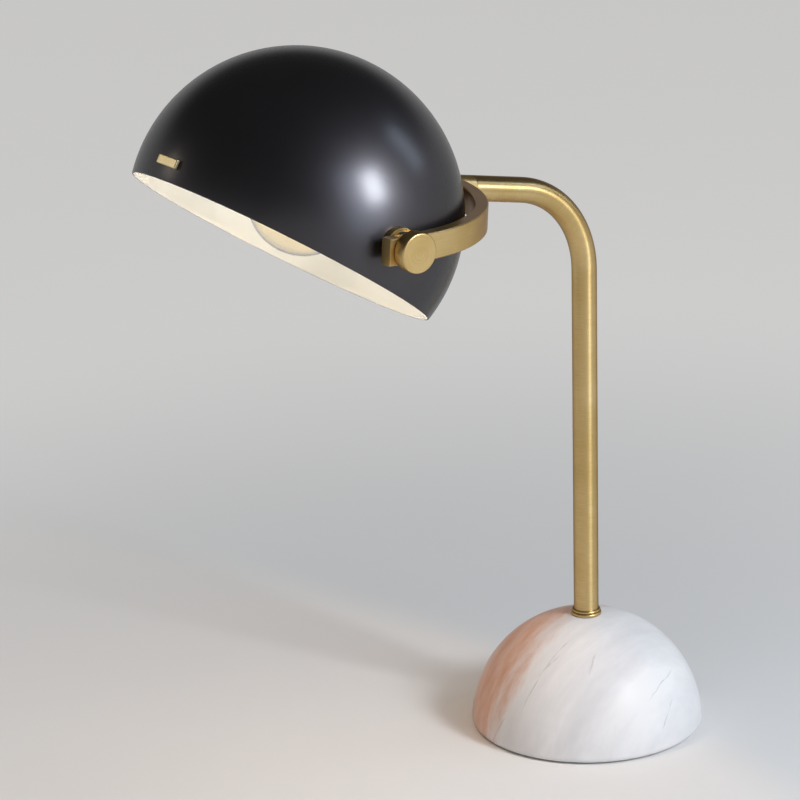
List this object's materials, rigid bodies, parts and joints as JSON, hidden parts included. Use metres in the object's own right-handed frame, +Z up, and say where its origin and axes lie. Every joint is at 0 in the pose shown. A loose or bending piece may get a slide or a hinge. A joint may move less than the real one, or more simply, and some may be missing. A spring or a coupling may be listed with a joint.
{
  "type": "desk lamp",
  "caption": "Desk lamp with a half-ball stone base, a bent brass tube, a U-shaped brass yoke and a dark metal dome shade that tilts between thumb knobs.",
  "frame": {"origin": "centre of the base on the table", "axes": "+Z up; the arm and the shade reach out along -Y; the tilting axis lies along X"},
  "size_m": [0.2436, 0.3853, 0.4839],
  "materials": {
    "marble": "polished white marble with faint grey veins",
    "felt": "dark felt",
    "steel": "zinc plated",
    "brass": "satin, lacquered",
    "brass_bright": "bare, drawn",
    "shade_paint": "dark gunmetal satin outside, cream white inside",
    "nylon": "natural nylon",
    "black_plastic": "black, fine matt",
    "rubber": "black",
    "porcelain": "glazed white",
    "glass": "clear",
    "cap_metal": "nickel plated",
    "filament": "yellow coating"
  },
  "bodies": {
    "stand": {"marble_base": "marble", "felt_pad": "felt", "base_washer": "steel", "lock_washer": "steel", "base_nut": "steel", "base_nipple": "steel", "stem_plug": "brass_bright", "foot_collar": "brass", "stem_tube": "brass", "yoke_coupling": "brass", "grub_screw": "steel", "yoke_band": "brass", "coupling_screws": "steel", "knob_washers": "black_plastic", "friction_washers": "nylon", "inlet_bush": "black_plastic"},
    "shade": {"pivot_spacers": "brass", "pivot_studs": "steel", "dished_washers": "steel", "stud_nuts": "steel", "shade_shell": "shade_paint", "finger_tab": "brass", "tab_screws": "steel", "wire_grommet": "rubber", "crown_cup": "steel", "holder_pipe": "steel", "pipe_nut": "steel", "holder_cap": "black_plastic", "holder_core": "porcelain", "screw_shell": "brass_bright", "centre_contact": "brass_bright", "terminal_screws": "brass_bright", "holder_sleeve": "black_plastic", "bulb_cap": "cap_metal", "bulb_insulator": "black_plastic", "bulb_tip": "steel", "bulb_glass": "glass", "bulb_mount": "glass", "filaments": "filament", "filament_wires": "steel"},
    "knob_right": {"knob_right": "brass"},
    "knob_left": {"knob_left": "brass"}
  },
  "joints": [
    {"name": "shade_tilt", "type": "hinge", "parent": "stand", "child": "shade", "pos_m": [0, -0.21734, 0.38767], "axis": [-1, 0, 0], "range_deg": [-54, 50]},
    {"name": "knob_right_turn", "type": "hinge", "parent": "shade", "child": "knob_right", "pos_m": [0, -0.21734, 0.38767], "axis": [1, 0, 0], "range_deg": [0, 360]},
    {"name": "knob_left_turn", "type": "hinge", "parent": "shade", "child": "knob_left", "pos_m": [0, -0.21734, 0.38767], "axis": [-1, 0, 0], "range_deg": [0, 360]}
  ]
}
